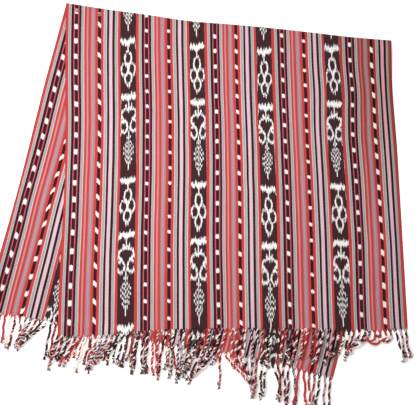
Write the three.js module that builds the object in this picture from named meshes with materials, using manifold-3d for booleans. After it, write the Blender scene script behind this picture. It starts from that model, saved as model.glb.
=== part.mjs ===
// A wrap scarf: one length of striped cotton cloth with a twisted fringe at both ends, folded once
// across its middle and laid flat, so that the lower half fans out past the upper one.
// Millimetres. +X runs from the left selvedge to the right one, +Y from the hems to the fold, +Z up.

import * as THREE from "three";
import Module from "manifold-3d";
import { mergeVertices } from "three/addons/utils/BufferGeometryUtils.js";

// ---- Driving sizes ----
const WALL = 1.6; // the cloth, with the little air that a loose weave holds
const GAP = 0.3; // between two pieces at a seam, and between two layers
const BOX_CENTRE = { x: -38.2, y: 4.1 }; // the plan point that becomes the origin

// ---- The plan of the folded cloth: three lines that cross it from selvedge to selvedge ----
const LINES = {
  fold: { left: -395, right: 505 },
  upperHem: { left: -387, right: 516 },
  lowerHem: { left: -585, right: 316 },
};
// Where each line lies along Y, at even steps across the cloth
const STATIONS = [
  { fold: 568, upperHem: -352, lowerHem: -288 },
  { fold: 549, upperHem: -352, lowerHem: -306 },
  { fold: 533, upperHem: -340, lowerHem: -327 },
  { fold: 515, upperHem: -336, lowerHem: -346 },
  { fold: 505, upperHem: -334, lowerHem: -366 },
  { fold: 494, upperHem: -334, lowerHem: -385 },
  { fold: 481, upperHem: -335, lowerHem: -403 },
  { fold: 467, upperHem: -338, lowerHem: -429 },
  { fold: 457, upperHem: -333, lowerHem: -458 },
];
// Where the loose weave has shifted sideways in its own plane. across and along are shares of the
// cloth's width and of the layer's length from the fold; shift is in mm, and the rest are shares.
const SHIFTS = [
  { layer: "upper", across: 0.0, along: 0.5, shift: 8, wide: 0.3, long: 0.42 },
  { layer: "upper", across: 0.86, along: 0.22, shift: 6, wide: 0.2, long: 0.16 },
  { layer: "upper", across: 1.0, along: 0.2, shift: -4, wide: 0.14, long: 0.2 },
  { layer: "upper", across: 0.55, along: 0.5, shift: 4, wide: 0.25, long: 0.3 },
  { layer: "lower", across: 0.0, along: 0.66, shift: 6, wide: 0.5, long: 0.45 },
  { layer: "lower", across: 1.0, along: 0.88, shift: 10, wide: 0.5, long: 0.2 },
];

// ---- Soft ridges that stand up from the cloth: high and wide in mm, the rest in shares ----
const RIDGES = [
  { layer: "upper", across: 0.09, from: 0.3, to: 0.8, high: 2.4, wide: 66, lean: -0.03 },
  { layer: "upper", across: 0.24, from: 0.0, to: 0.34, high: 1.8, wide: 80, lean: 0.02 },
  { layer: "upper", across: 0.4, from: 0.42, to: 0.96, high: 2.0, wide: 76, lean: 0.03 },
  { layer: "upper", across: 0.56, from: 0.05, to: 0.5, high: 1.6, wide: 70, lean: -0.02 },
  { layer: "upper", across: 0.7, from: 0.55, to: 1.0, high: 2.2, wide: 84, lean: -0.02 },
  { layer: "upper", across: 0.85, from: 0.08, to: 0.55, high: 2.8, wide: 72, lean: 0.04 },
  { layer: "upper", across: 0.95, from: 0.6, to: 0.95, high: 2.0, wide: 70, lean: 0.0 },
  { layer: "lower", across: 0.05, from: 0.35, to: 0.85, high: 2.4, wide: 60, lean: 0.02 },
  { layer: "lower", across: 0.13, from: 0.72, to: 1.0, high: 1.8, wide: 60, lean: -0.02 },
];

// ---- The fold: a soft bend, never pressed ----
const FOLD_RADIUS = 2.3; // of the wall's middle
const FOLD_DEPTH = 14; // how far in from the bend its two legs reach
const FOLD_EASE = 120; // how far in the upper layer takes to settle on the lower one
const FOLD_STEPS = 6; // round the bend
const RIDGE_START = 20; // how far in from the fold's leg a ridge may reach its height

// ---- The fringe: twisted cords with a knot and a tuft ----
const CORDS = 68; // at each hem
const CORD_WIDE = 6.8;
const CORD_HIGH = 5.6;
const CORD_CLEAR = 0.4; // over the floor, and over what a cord crosses
const PILE_MOST = 10; // how high a cord climbs over others of its own hem before they press together
const STRIP_WIDE = 4; // the row of gathered yarns that the cords start from
const ROOT_IN = 1.8; // how far into the strip a cord starts
const ROOT_OUT = 8; // how far straight out it goes before it leans
const RINGS = 6; // sections after the root
const BESIDE = 0.8; // the least room between two cords that lie side by side
const DENSE = 4; // mm between the places where crossings are looked for
const FREE_OF_CROSSINGS = 45; // mm from the hem where the lower cords lie flat
// Each section's size, as a share of the cord's, from the root to the tip
const CORD_SHAPE = [0.6, 0.95, 0.95, 0.95, 0.95, 1.3, 0.75];
// lean is in degrees from straight out, towards +X; curl is what the lean gains along the cord, and
// stray is how far either of them varies either way
const UPPER_CORDS = [
  { across: 0.0, lean: -24, curl: -4, long: 88, stray: 9 },
  { across: 0.04, lean: -28, curl: -8, long: 84, stray: 9 },
  { across: 0.07, lean: -34, curl: -6, long: 86, stray: 10 },
  { across: 0.09, lean: -12, curl: 8, long: 96, stray: 9 },
  { across: 0.125, lean: -20, curl: -4, long: 88, stray: 9 },
  { across: 0.145, lean: -34, curl: -6, long: 82, stray: 5 },
  { across: 0.185, lean: -48, curl: -6, long: 84, stray: 4 },
  { across: 0.2, lean: -14, curl: -4, long: 104, stray: 3 },
  { across: 0.214, lean: -6, curl: -40, long: 82, stray: 3 },
  { across: 0.23, lean: -8, curl: 2, long: 98, stray: 13 },
  { across: 0.275, lean: 0, curl: -4, long: 106, stray: 13 },
  { across: 0.315, lean: 2, curl: 0, long: 112, stray: 13 },
  { across: 0.331, lean: -14, curl: 8, long: 112, stray: 6 },
  { across: 0.346, lean: 0, curl: 4, long: 104, stray: 4 },
  { across: 0.383, lean: -8, curl: 0, long: 112, stray: 11 },
  { across: 0.41, lean: -14, curl: -2, long: 112, stray: 11 },
  { across: 0.455, lean: -8, curl: -4, long: 100, stray: 11 },
  { across: 0.56, lean: 2, curl: 4, long: 94, stray: 14 },
  { across: 0.66, lean: -2, curl: -4, long: 92, stray: 14 },
  { across: 0.76, lean: -8, curl: -10, long: 88, stray: 14 },
  { across: 0.82, lean: -14, curl: -14, long: 82, stray: 9 },
  { across: 0.84, lean: -22, curl: 20, long: 84, stray: 6 },
  { across: 0.858, lean: -30, curl: -8, long: 78, stray: 4 },
  { across: 0.875, lean: -26, curl: -60, long: 70, stray: 3 },
  { across: 0.89, lean: -20, curl: -110, long: 60, stray: 3 },
  { across: 0.9045, lean: -4, curl: -174, long: 62, stray: 2 },
  { across: 0.919, lean: 0, curl: -178, long: 82, stray: 2 },
  { across: 0.934, lean: 4, curl: -178, long: 58, stray: 2 },
  { across: 0.949, lean: 4, curl: -178, long: 78, stray: 2 },
  { across: 0.963, lean: 14, curl: -8, long: 88, stray: 2 },
  { across: 0.978, lean: 6, curl: 4, long: 86, stray: 2 },
  { across: 1.0, lean: 0, curl: 8, long: 86, stray: 2 },
];
const LOWER_CORDS = [
  { across: 0.0, lean: 8, curl: -10, long: 84, stray: 6 },
  { across: 0.06, lean: 10, curl: -8, long: 84, stray: 5 },
  { across: 0.09, lean: -2, curl: -6, long: 84, stray: 4 },
  { across: 0.11, lean: 16, curl: -24, long: 82, stray: 3 },
  { across: 0.13, lean: -6, curl: -14, long: 82, stray: 4 },
  { across: 0.15, lean: -20, curl: -10, long: 82, stray: 4 },
  { across: 0.175, lean: -36, curl: -6, long: 86, stray: 3 },
  { across: 0.186, lean: -38, curl: -6, long: 86, stray: 3 },
  { across: 0.198, lean: 4, curl: -4, long: 88, stray: 3 },
  { across: 0.22, lean: -4, curl: -8, long: 84, stray: 3 },
  { across: 0.3, lean: -2, curl: -8, long: 82, stray: 3 },
  { across: 0.4, lean: 4, curl: -4, long: 84, stray: 4 },
  { across: 0.5, lean: 6, curl: 4, long: 86, stray: 10 },
  { across: 0.58, lean: 2, curl: -4, long: 92, stray: 10 },
  { across: 0.63, lean: -6, curl: -8, long: 90, stray: 8 },
  { across: 0.655, lean: -34, curl: -8, long: 92, stray: 3 },
  { across: 0.669, lean: -38, curl: -8, long: 96, stray: 3 },
  { across: 0.684, lean: 10, curl: 0, long: 98, stray: 2 },
  { across: 0.6985, lean: 50, curl: 4, long: 98, stray: 3 },
  { across: 0.72, lean: 48, curl: 4, long: 98, stray: 4 },
  { across: 0.742, lean: 30, curl: 0, long: 96, stray: 5 },
  { across: 0.76, lean: 18, curl: 2, long: 96, stray: 5 },
  { across: 0.79, lean: 14, curl: -8, long: 96, stray: 8 },
  { across: 0.815, lean: -2, curl: 10, long: 92, stray: 4 },
  { across: 0.83, lean: 40, curl: -40, long: 92, stray: 3 },
  { across: 0.85, lean: 20, curl: -14, long: 94, stray: 5 },
  { across: 0.9, lean: 12, curl: -8, long: 96, stray: 8 },
  { across: 1.0, lean: 6, curl: -4, long: 100, stray: 6 },
];
const LONG_VARIES = 0.13; // share of the length either way

// ---- The meshes' grid ----
const COLUMNS = 24;
const UPPER_ROWS = 23;
const LOWER_ROWS = 15;
const REACH = 64; // wider than a cell's diagonal, so that no facet dips into what lies under it
const SETTLE = 60; // how far past that the upper layer takes to come down

const wasm = await Module();
wasm.setup();

// ---- Small helpers ----

const clamp01 = (value) => Math.min(1, Math.max(0, value));
const ease = (share) => {
  const s = clamp01(share);
  return s * s * (3 - 2 * s);
};
const mix = (a, b, share) => a + (b - a) * share;

// A repeatable number from 0 to 1
function scatter(n) {
  const value = Math.sin(n * 12.9898 + 78.233) * 43758.5453;
  return value - Math.floor(value);
}

// A smooth curve through evenly spaced values, at a share of the way along them
function throughValues(values, share) {
  const last = values.length - 1;
  const at = clamp01(share) * last;
  const i = Math.min(Math.floor(at), last - 1);
  const t = at - i;
  const b = values[i];
  const c = values[i + 1];
  const a = i > 0 ? values[i - 1] : 2 * b - c;
  const d = i + 2 <= last ? values[i + 2] : 2 * c - b;
  return b + 0.5 * t * (c - a + t * (2 * a - 5 * b + 4 * c - d + t * (3 * (b - c) + d - a)));
}

// A table's value under a heading, between its rows
function fromTable(table, key, across) {
  const next = Math.max(1, table.findIndex((row) => row.across >= across));
  const [low, high] = [table[next - 1], table[next]];
  return mix(low[key], high[key], (across - low.across) / (high.across - low.across));
}

// ---- The plan ----

function linePoint(line, across) {
  const { left, right } = LINES[line];
  const y = throughValues(STATIONS.map((station) => station[line]), across);
  return new THREE.Vector2(mix(left, right, across), y);
}

// A round hump, 1 in its middle and 0 from half of its width out
const hump = (away, width) => 0.5 + 0.5 * Math.cos(Math.PI * Math.min(1, (2 * Math.abs(away)) / width));

function planPoint(layer, across, along) {
  const point = linePoint("fold", across).lerp(linePoint(`${layer}Hem`, across), along);
  for (const s of SHIFTS.filter((row) => row.layer === layer)) {
    point.x += s.shift * hump(across - s.across, 2 * s.wide) * hump(along - s.along, 2 * s.long);
  }
  return point;
}

const layerLength = (layer, across) =>
  linePoint("fold", across).distanceTo(linePoint(`${layer}Hem`, across));

// The unit vector along the warp, away from the fold
const warp = (layer, across) =>
  linePoint(`${layer}Hem`, across).sub(linePoint("fold", across)).normalize();

// The unit vector that leaves a hem at a right angle, away from the fold
function outward(layer, across) {
  const step = 0.01;
  const before = planPoint(layer, Math.max(0, across - step), 1);
  const after = planPoint(layer, Math.min(1, across + step), 1);
  const edge = after.sub(before).normalize();
  return new THREE.Vector2(edge.y, -edge.x);
}

// How high the layer's own ridges lift it
function ridgeLift(layer, across, along) {
  const width = LINES.fold.right - LINES.fold.left;
  return RIDGES.filter((row) => row.layer === layer).reduce((lift, r) => {
    const share = (along - r.from) / (r.to - r.from);
    if (share < 0 || share > 1) return lift;
    const away = (across - r.across - r.lean * share) * width;
    return lift + r.high * Math.sin(Math.PI * share) ** 2 * hump(away, r.wide);
  }, 0);
}

// ---- What lies under the upper layer ----

// The closed outline of a patch, from its point at each share across and along
function outline(corner) {
  const steps = 16; // to a side
  const shares = Array.from({ length: steps }, (_, i) => i / steps);
  return [
    ...shares.map((s) => corner(s, 0)),
    ...shares.map((s) => corner(1, s)),
    ...shares.map((s) => corner(1 - s, 1)),
    ...shares.map((s) => corner(0, 1 - s)),
  ];
}

const LOWER_OUTLINE = outline((across, along) => planPoint("lower", across, along));
const LOWER_CORDS_OUTLINE = outline((across, along) =>
  planPoint("lower", across, 1).addScaledVector(outward("lower", across), along * FREE_OF_CROSSINGS),
);

// How far outside a closed outline a point lies, and 0 inside it
function distanceOutside(point, ring) {
  let inside = false;
  let nearest = Infinity;
  ring.forEach((a, i) => {
    const b = ring[(i + 1) % ring.length];
    const edge = b.clone().sub(a);
    const share = clamp01(point.clone().sub(a).dot(edge) / edge.lengthSq());
    nearest = Math.min(nearest, a.clone().addScaledVector(edge, share).distanceTo(point));
    const crosses = a.y > point.y !== b.y > point.y;
    if (crosses && point.x < a.x + (edge.x * (point.y - a.y)) / edge.y) inside = !inside;
  });
  return inside ? 0 : nearest;
}

// The underside of the upper layer: on the floor, over the lower layer or over its cords
function upperUnderside(across, along) {
  const point = planPoint("upper", across, along);
  const past = (ring) => ease((distanceOutside(point, ring) - REACH) / SETTLE);
  const onLayer = mix(WALL + GAP, 0, past(LOWER_OUTLINE));
  const onCords = mix(CORD_CLEAR + CORD_HIGH + GAP, 0, past(LOWER_CORDS_OUTLINE));
  const resting = Math.max(onLayer, onCords);
  const fromBend = along * layerLength("upper", across) - FOLD_DEPTH;
  const bend = mix(2 * FOLD_RADIUS, resting, ease(fromBend / FOLD_EASE));
  return bend + ridgeLift("upper", across, along) * ease(fromBend / RIDGE_START);
}

// ---- Closed walls from grids of points ----

// The closed body between two grids of points, upper and lower, of the same rows and columns
function wallBetween(top, bottom) {
  const rows = top.length;
  const cols = top[0].length;
  const positions = [...top.flat(), ...bottom.flat()].flatMap((p) => [p.x, p.y, p.z]);
  const at = (side, row, col) => (side * rows + row) * cols + col;
  const index = [];
  const quad = (a, b, c, d) => index.push(a, b, c, a, c, d);
  for (let row = 0; row < rows - 1; row++) {
    for (let col = 0; col < cols - 1; col++) {
      quad(at(0, row, col), at(0, row + 1, col), at(0, row + 1, col + 1), at(0, row, col + 1));
      quad(at(1, row, col), at(1, row, col + 1), at(1, row + 1, col + 1), at(1, row + 1, col));
    }
  }
  for (let col = 0; col < cols - 1; col++) {
    quad(at(1, 0, col), at(0, 0, col), at(0, 0, col + 1), at(1, 0, col + 1));
    quad(at(0, rows - 1, col), at(1, rows - 1, col), at(1, rows - 1, col + 1), at(0, rows - 1, col + 1));
  }
  for (let row = 0; row < rows - 1; row++) {
    quad(at(0, row, 0), at(1, row, 0), at(1, row + 1, 0), at(0, row + 1, 0));
    quad(at(1, row, cols - 1), at(0, row, cols - 1), at(0, row + 1, cols - 1), at(1, row + 1, cols - 1));
  }
  const geometry = new THREE.BufferGeometry();
  geometry.setAttribute("position", new THREE.Float32BufferAttribute(positions, 3));
  geometry.setIndex(index);
  return geometry;
}

const grid = (rows, cols, point) =>
  Array.from({ length: rows + 1 }, (_, r) =>
    Array.from({ length: cols + 1 }, (_, c) => point(c / cols, r / rows)),
  );

const raised = (plan, z) => new THREE.Vector3(plan.x, plan.y, z);

// A layer's own grid starts a gap past the end of the fold's leg
function alongLayer(layer, across, share) {
  const start = (FOLD_DEPTH + GAP) / layerLength(layer, across);
  return mix(start, 1, share);
}

function layerWall(layer, rows, underside) {
  const surface = (thickness) =>
    grid(rows, COLUMNS, (across, share) => {
      const along = alongLayer(layer, across, share);
      return raised(planPoint(layer, across, along), underside(across, along) + thickness);
    });
  return wallBetween(surface(WALL), surface(0));
}

const upperLayer = () => layerWall("upper", UPPER_ROWS, upperUnderside);
const lowerLayer = () =>
  layerWall("lower", LOWER_ROWS, (across, along) => ridgeLift("lower", across, along));

// ---- The fold ----

// The wall's middle, as distance in from the bend's outermost line and height, with the way out
// of the wall and the share of the turn from the lower layer to the upper one
function foldSection() {
  const centre = FOLD_RADIUS + WALL / 2;
  const leg = (turn, side) => ({ inward: FOLD_DEPTH, z: centre + side * FOLD_RADIUS, nx: 0, nz: side, turn });
  const bend = Array.from({ length: FOLD_STEPS + 1 }, (_, i) => {
    const angle = (Math.PI * i) / FOLD_STEPS;
    const [nx, nz] = [-Math.sin(angle), -Math.cos(angle)];
    return {
      inward: centre + nx * FOLD_RADIUS,
      z: centre + nz * FOLD_RADIUS,
      nx,
      nz,
      turn: i / FOLD_STEPS,
    };
  });
  return [leg(0, -1), ...bend, leg(1, 1)];
}

function fold() {
  const section = foldSection();
  const surface = (offset) =>
    section.map((s) =>
      Array.from({ length: COLUMNS + 1 }, (_, c) => {
        const across = c / COLUMNS;
        const way = warp("lower", across).lerp(warp("upper", across), s.turn).normalize();
        const plan = linePoint("fold", across).addScaledVector(way, s.inward + s.nx * offset);
        return raised(plan, s.z + s.nz * offset);
      }),
    );
  return wallBetween(surface(WALL / 2), surface(-WALL / 2));
}

// ---- The fringe ----

// A cord's plan: its sections' middles, straight out of the hem and then along its lean and curl
function cordPlan(layer, table, number) {
  const across = (number + 0.5) / CORDS;
  const seed = layer === "upper" ? number : number + 500;
  const stray = fromTable(table, "stray", across);
  const lean = fromTable(table, "lean", across) + stray * (2 * scatter(seed + 0.17) - 1);
  const curl = fromTable(table, "curl", across) + stray * (2 * scatter(seed + 0.41) - 1);
  const long = fromTable(table, "long", across) * (1 + LONG_VARIES * (2 * scatter(seed + 0.73) - 1));
  const way = outward(layer, across);
  const root = planPoint(layer, across, 1);
  const points = [
    root.clone().addScaledVector(way, GAP + ROOT_IN),
    root.clone().addScaledVector(way, ROOT_OUT),
  ];
  const step = (long - ROOT_OUT) / (RINGS - 1);
  for (let i = 1; i < RINGS; i++) {
    const angle = THREE.MathUtils.degToRad(lean + (curl * (i - 1)) / (RINGS - 2));
    const heading = way.clone().rotateAround(new THREE.Vector2(), angle);
    points.push(points[i].clone().addScaledVector(heading, step));
  }
  return points;
}

// The places along a cord where crossings are looked for: plan point, section number and size
function densePlaces(points) {
  const places = [];
  for (let i = 0; i < points.length - 1; i++) {
    const count = Math.ceil(points[i].distanceTo(points[i + 1]) / DENSE);
    for (let k = 0; k <= count; k++) {
      const share = k / count;
      const size = mix(CORD_SHAPE[i], CORD_SHAPE[i + 1], share);
      places.push({ plan: points[i].clone().lerp(points[i + 1], share), section: i, share, size });
    }
  }
  return places;
}

// Lays a cord on the floor, the lower layer and the cords laid before it, and returns the height
// of each section's underside
function layCord(layer, points, rootHeight, laid) {
  const places = densePlaces(points);
  const heights = points.map((_, i) => (i === 0 ? rootHeight : CORD_CLEAR));
  for (const place of places) {
    const overLower = layer === "upper" && distanceOutside(place.plan, LOWER_OUTLINE) < CORD_WIDE;
    let needed = CORD_CLEAR + (overLower ? WALL : 0);
    for (const other of laid) {
      const near = (CORD_WIDE / 2) * (place.size + other.size) + BESIDE;
      if (place.plan.distanceTo(other.plan) >= near) continue;
      const most = other.layer === layer ? PILE_MOST : Infinity;
      needed = Math.max(needed, Math.min(other.top + CORD_CLEAR, most));
    }
    for (const section of [place.section, place.section + 1]) {
      if (section > 0) heights[section] = Math.max(heights[section], needed);
    }
  }
  for (const place of places) {
    const under = mix(heights[place.section], heights[place.section + 1], place.share);
    laid.push({ layer, plan: place.plan, size: place.size, top: under + CORD_HIGH * place.size });
  }
  return heights;
}

// A three-sided cord with its flat side down
function cordGeometry(points, heights) {
  const positions = [];
  points.forEach((point, i) => {
    const before = points[Math.max(0, i - 1)];
    const after = points[Math.min(points.length - 1, i + 1)];
    const side = after.clone().sub(before).normalize().rotateAround(new THREE.Vector2(), Math.PI / 2);
    const half = (CORD_WIDE / 2) * CORD_SHAPE[i];
    const left = point.clone().addScaledVector(side, half);
    const right = point.clone().addScaledVector(side, -half);
    positions.push(left.x, left.y, heights[i], right.x, right.y, heights[i]);
    positions.push(point.x, point.y, heights[i] + CORD_HIGH * CORD_SHAPE[i]);
  });
  const index = [0, 1, 2];
  for (let i = 0; i < points.length - 1; i++) {
    for (let k = 0; k < 3; k++) {
      const [a, b] = [i * 3 + k, i * 3 + ((k + 1) % 3)];
      index.push(a, a + 3, b + 3, a, b + 3, b);
    }
  }
  const end = (points.length - 1) * 3;
  index.push(end, end + 2, end + 1);
  const geometry = new THREE.BufferGeometry();
  geometry.setAttribute("position", new THREE.Float32BufferAttribute(positions, 3));
  geometry.setIndex(index);
  return geometry;
}

// The strip of gathered yarns along a hem, a gap outside the cloth's edge
function stripGeometry(layer, underside) {
  const surface = (thickness) =>
    grid(1, COLUMNS, (across, share) => {
      const reach = GAP + share * STRIP_WIDE;
      const plan = planPoint(layer, across, 1).addScaledVector(outward(layer, across), reach);
      return raised(plan, underside(across) + thickness);
    });
  return wallBetween(surface(WALL), surface(0));
}

function toManifold(geometry) {
  const merged = mergeVertices(geometry);
  return new wasm.Manifold(
    new wasm.Mesh({
      numProp: 3,
      vertProperties: new Float32Array(merged.attributes.position.array),
      triVerts: new Uint32Array(merged.index.array),
    }),
  );
}

function fromManifold(solid) {
  const mesh = solid.getMesh();
  const geometry = new THREE.BufferGeometry();
  geometry.setAttribute("position", new THREE.Float32BufferAttribute(mesh.vertProperties, 3));
  geometry.setIndex([...mesh.triVerts]);
  return geometry;
}

function fringe(layer, table, underside, laid) {
  let body = toManifold(stripGeometry(layer, underside));
  // Every other cord lies down first, and the rest settle between and over them
  for (const first of [0, 1]) {
    for (let number = first; number < CORDS; number += 2) {
      const points = cordPlan(layer, table, number);
      const heights = layCord(layer, points, underside((number + 0.5) / CORDS), laid);
      body = body.add(toManifold(cordGeometry(points, heights)));
    }
  }
  return fromManifold(body);
}

// The height of a line of facets between the grid's own columns
function betweenColumns(height, across) {
  const start = Math.min(Math.floor(across * COLUMNS), COLUMNS - 1);
  return mix(height(start / COLUMNS), height((start + 1) / COLUMNS), across * COLUMNS - start);
}

// ---- The whole scarf ----

const CLOTH = new THREE.MeshStandardMaterial({ color: 0x9c4a4a, roughness: 0.9, metalness: 0 });
const CORD = new THREE.MeshStandardMaterial({ color: 0x7d3338, roughness: 0.9, metalness: 0 });

const scarf = new THREE.Group();
scarf.position.set(-BOX_CENTRE.x, -BOX_CENTRE.y, 0);

function addPiece(name, geometry, material) {
  const mesh = new THREE.Mesh(geometry, material);
  mesh.name = name;
  scarf.add(mesh);
}

const laidCords = [];
const lowerStripHeight = () => CORD_CLEAR;
const upperStripHeight = (across) =>
  Math.max(CORD_CLEAR, betweenColumns((share) => upperUnderside(share, 1), across));

addPiece("lower_layer", lowerLayer(), CLOTH);
addPiece("fold", fold(), CLOTH);
addPiece("upper_layer", upperLayer(), CLOTH);
addPiece("lower_fringe", fringe("lower", LOWER_CORDS, lowerStripHeight, laidCords), CORD);
addPiece("upper_fringe", fringe("upper", UPPER_CORDS, upperStripHeight, laidCords), CORD);

export default scarf;
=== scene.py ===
"""A striped cotton wrap scarf with two twisted fringes, folded once and laid flat.

One thin shell of cloth runs from the upper hem over the fold to the lower hem, and each hem has its
own fringe. Sizes are in millimetres in the plan of the folded cloth, +X from the left selvedge to the
right one and +Y from the hems to the fold, and become metres in the frame when a mesh is made.
"""

import math

import bpy
import numpy as np
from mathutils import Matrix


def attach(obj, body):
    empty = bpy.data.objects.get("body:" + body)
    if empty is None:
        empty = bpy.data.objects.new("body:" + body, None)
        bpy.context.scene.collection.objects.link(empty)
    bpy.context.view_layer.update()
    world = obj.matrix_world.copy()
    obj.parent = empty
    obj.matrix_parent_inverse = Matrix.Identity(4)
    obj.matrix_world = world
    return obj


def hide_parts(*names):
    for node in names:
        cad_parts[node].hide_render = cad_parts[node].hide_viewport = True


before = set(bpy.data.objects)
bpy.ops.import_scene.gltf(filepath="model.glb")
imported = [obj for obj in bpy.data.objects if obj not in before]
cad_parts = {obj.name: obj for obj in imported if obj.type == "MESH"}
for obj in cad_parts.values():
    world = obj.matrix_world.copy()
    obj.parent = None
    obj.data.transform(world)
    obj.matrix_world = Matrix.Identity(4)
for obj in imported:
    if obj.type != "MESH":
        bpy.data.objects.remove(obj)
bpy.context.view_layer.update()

# ---- Sizes shared with the solids ----
MM = 0.001
BOX_CENTRE = (-38.2, 4.1)  # the plan point that is the frame's origin
WALL = 1.6  # of the solid cloth
GAP = 0.3
CLOTH_WIDE = 900.0
LINES = {"fold": (-395, 505), "upper": (-387, 516), "lower": (-585, 316)}
# Where each line lies along Y, at even steps across the cloth
STATIONS = {
    "fold": (568, 549, 533, 515, 505, 494, 481, 467, 457),
    "upper": (-352, -352, -340, -336, -334, -334, -335, -338, -333),
    "lower": (-288, -306, -327, -346, -366, -385, -403, -429, -458),
}
# Sideways shifts of the loose weave: across, along, shift in mm, wide, long
SHIFTS = {
    "upper": (
        (0.0, 0.5, 8, 0.3, 0.42),
        (0.86, 0.22, 6, 0.2, 0.16),
        (1.0, 0.2, -4, 0.14, 0.2),
        (0.55, 0.5, 4, 0.25, 0.3),
    ),
    "lower": (
        (0.0, 0.66, 6, 0.5, 0.45),
        (1.0, 0.88, 10, 0.5, 0.2),
    ),
}
# Soft ridges along the warp: across, from, to, high and wide in mm, lean
RIDGES = {
    "upper": (
        (0.09, 0.3, 0.8, 2.4, 66, -0.03),
        (0.24, 0.0, 0.34, 1.8, 80, 0.02),
        (0.4, 0.42, 0.96, 2.0, 76, 0.03),
        (0.56, 0.05, 0.5, 1.6, 70, -0.02),
        (0.7, 0.55, 1.0, 2.2, 84, -0.02),
        (0.85, 0.08, 0.55, 2.8, 72, 0.04),
        (0.95, 0.6, 0.95, 2.0, 70, 0.0),
    ),
    "lower": (
        (0.05, 0.35, 0.85, 2.4, 60, 0.02),
        (0.13, 0.72, 1.0, 1.8, 60, -0.02),
    ),
}
FOLD_EASE = 120
RIDGE_START = 20

# ---- The cloth's own sizes ----
CLOTH_THICK = 1.0
CLOTH_REST = 0.75  # from the solid's underside to the middle of the cloth
FOLD_RADIUS = 2.5  # of the cloth's middle
FOLD_DEPTH = 12
STEP_REACH = 3  # how far past what it covers the upper layer stays up
STEP_SETTLE = 26  # and how far past that it takes to come down
CORD_ZONE = 45  # how far below the lower hem the upper layer rides on cords
CORD_HIGH = 5.6
CORD_CLEAR = 0.4
PILE_MOST = 10  # how high a cord climbs over others of its own hem before they press together
# Finer creases: across, along, turn in degrees from the warp, long, wide and high in mm
CREASES = {
    "upper": (
        (0.05, 0.1, 12, 150, 16, 1.0),
        (0.13, 0.3, -8, 260, 22, -0.8),
        (0.19, 0.62, 5, 300, 20, 0.9),
        (0.3, 0.16, -14, 210, 24, 0.8),
        (0.34, 0.5, 9, 280, 18, -0.7),
        (0.46, 0.2, 4, 320, 26, -0.8),
        (0.5, 0.76, -7, 250, 22, 0.9),
        (0.62, 0.36, 11, 340, 20, 0.9),
        (0.66, 0.84, -4, 200, 18, -0.7),
        (0.76, 0.14, -10, 230, 24, 1.0),
        (0.8, 0.66, 8, 300, 20, 0.9),
        (0.9, 0.42, 14, 260, 18, -0.8),
        (0.93, 0.8, -6, 220, 22, 1.0),
        (0.4, 0.03, 82, 300, 14, 0.5),
        (0.72, 0.05, 80, 260, 14, 0.5),
    ),
    "lower": (
        (0.04, 0.7, 10, 220, 18, 1.0),
        (0.1, 0.5, -6, 260, 20, -0.7),
        (0.18, 0.85, 12, 180, 16, 0.9),
        (0.4, 0.96, 84, 240, 14, 0.6),
        (0.7, 0.97, -80, 260, 14, 0.6),
        (0.9, 0.9, 8, 160, 16, 0.8),
    ),
}
CREASE_BOW = 0.06  # how far a crease bows, for its length
CREASE_DEEPEST = -0.5
LOWER_SINK = 0.15  # how far the lower layer settles
FLOOR_CLEAR = 0.1

# ---- The fringes ----
CORDS = 68  # at each hem
STRIP_IN = GAP + 1.8  # where a solid cord starts, out from the hem
ROOT_OUT = 8
SECTIONS = 6  # after the root
CORD_WIDE = 6.8
BESIDE = 0.8
DENSE = 4
CORD_SHAPE = (0.6, 0.95, 0.95, 0.95, 0.95, 1.3, 0.75)
LONG_VARIES = 0.13
# across, lean and curl in degrees, long in mm, stray in degrees
UPPER_CORDS = (
    (0.0, -24, -4, 88, 9),
    (0.04, -28, -8, 84, 9),
    (0.07, -34, -6, 86, 10),
    (0.09, -12, 8, 96, 9),
    (0.125, -20, -4, 88, 9),
    (0.145, -34, -6, 82, 5),
    (0.185, -48, -6, 84, 4),
    (0.2, -14, -4, 104, 3),
    (0.214, -6, -40, 82, 3),
    (0.23, -8, 2, 98, 13),
    (0.275, 0, -4, 106, 13),
    (0.315, 2, 0, 112, 13),
    (0.331, -14, 8, 112, 6),
    (0.346, 0, 4, 104, 4),
    (0.383, -8, 0, 112, 11),
    (0.41, -14, -2, 112, 11),
    (0.455, -8, -4, 100, 11),
    (0.56, 2, 4, 94, 14),
    (0.66, -2, -4, 92, 14),
    (0.76, -8, -10, 88, 14),
    (0.82, -14, -14, 82, 9),
    (0.84, -22, 20, 84, 6),
    (0.858, -30, -8, 78, 4),
    (0.875, -26, -60, 70, 3),
    (0.89, -20, -110, 60, 3),
    (0.9045, -4, -174, 62, 2),
    (0.919, 0, -178, 82, 2),
    (0.934, 4, -178, 58, 2),
    (0.949, 4, -178, 78, 2),
    (0.963, 14, -8, 88, 2),
    (0.978, 6, 4, 86, 2),
    (1.0, 0, 8, 86, 2),
)
LOWER_CORDS = (
    (0.0, 8, -10, 84, 6),
    (0.06, 10, -8, 84, 5),
    (0.09, -2, -6, 84, 4),
    (0.11, 16, -24, 82, 3),
    (0.13, -6, -14, 82, 4),
    (0.15, -20, -10, 82, 4),
    (0.175, -36, -6, 86, 3),
    (0.186, -38, -6, 86, 3),
    (0.198, 4, -4, 88, 3),
    (0.22, -4, -8, 84, 3),
    (0.3, -2, -8, 82, 3),
    (0.4, 4, -4, 84, 4),
    (0.5, 6, 4, 86, 10),
    (0.58, 2, -4, 92, 10),
    (0.63, -6, -8, 90, 8),
    (0.655, -34, -8, 92, 3),
    (0.669, -38, -8, 96, 3),
    (0.684, 10, 0, 98, 2),
    (0.6985, 50, 4, 98, 3),
    (0.72, 48, 4, 98, 4),
    (0.742, 30, 0, 96, 5),
    (0.76, 18, 2, 96, 5),
    (0.79, 14, -8, 96, 8),
    (0.815, -2, 10, 92, 4),
    (0.83, 40, -40, 92, 3),
    (0.85, 20, -14, 94, 5),
    (0.9, 12, -8, 96, 8),
    (1.0, 6, -4, 100, 6),
)
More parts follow.
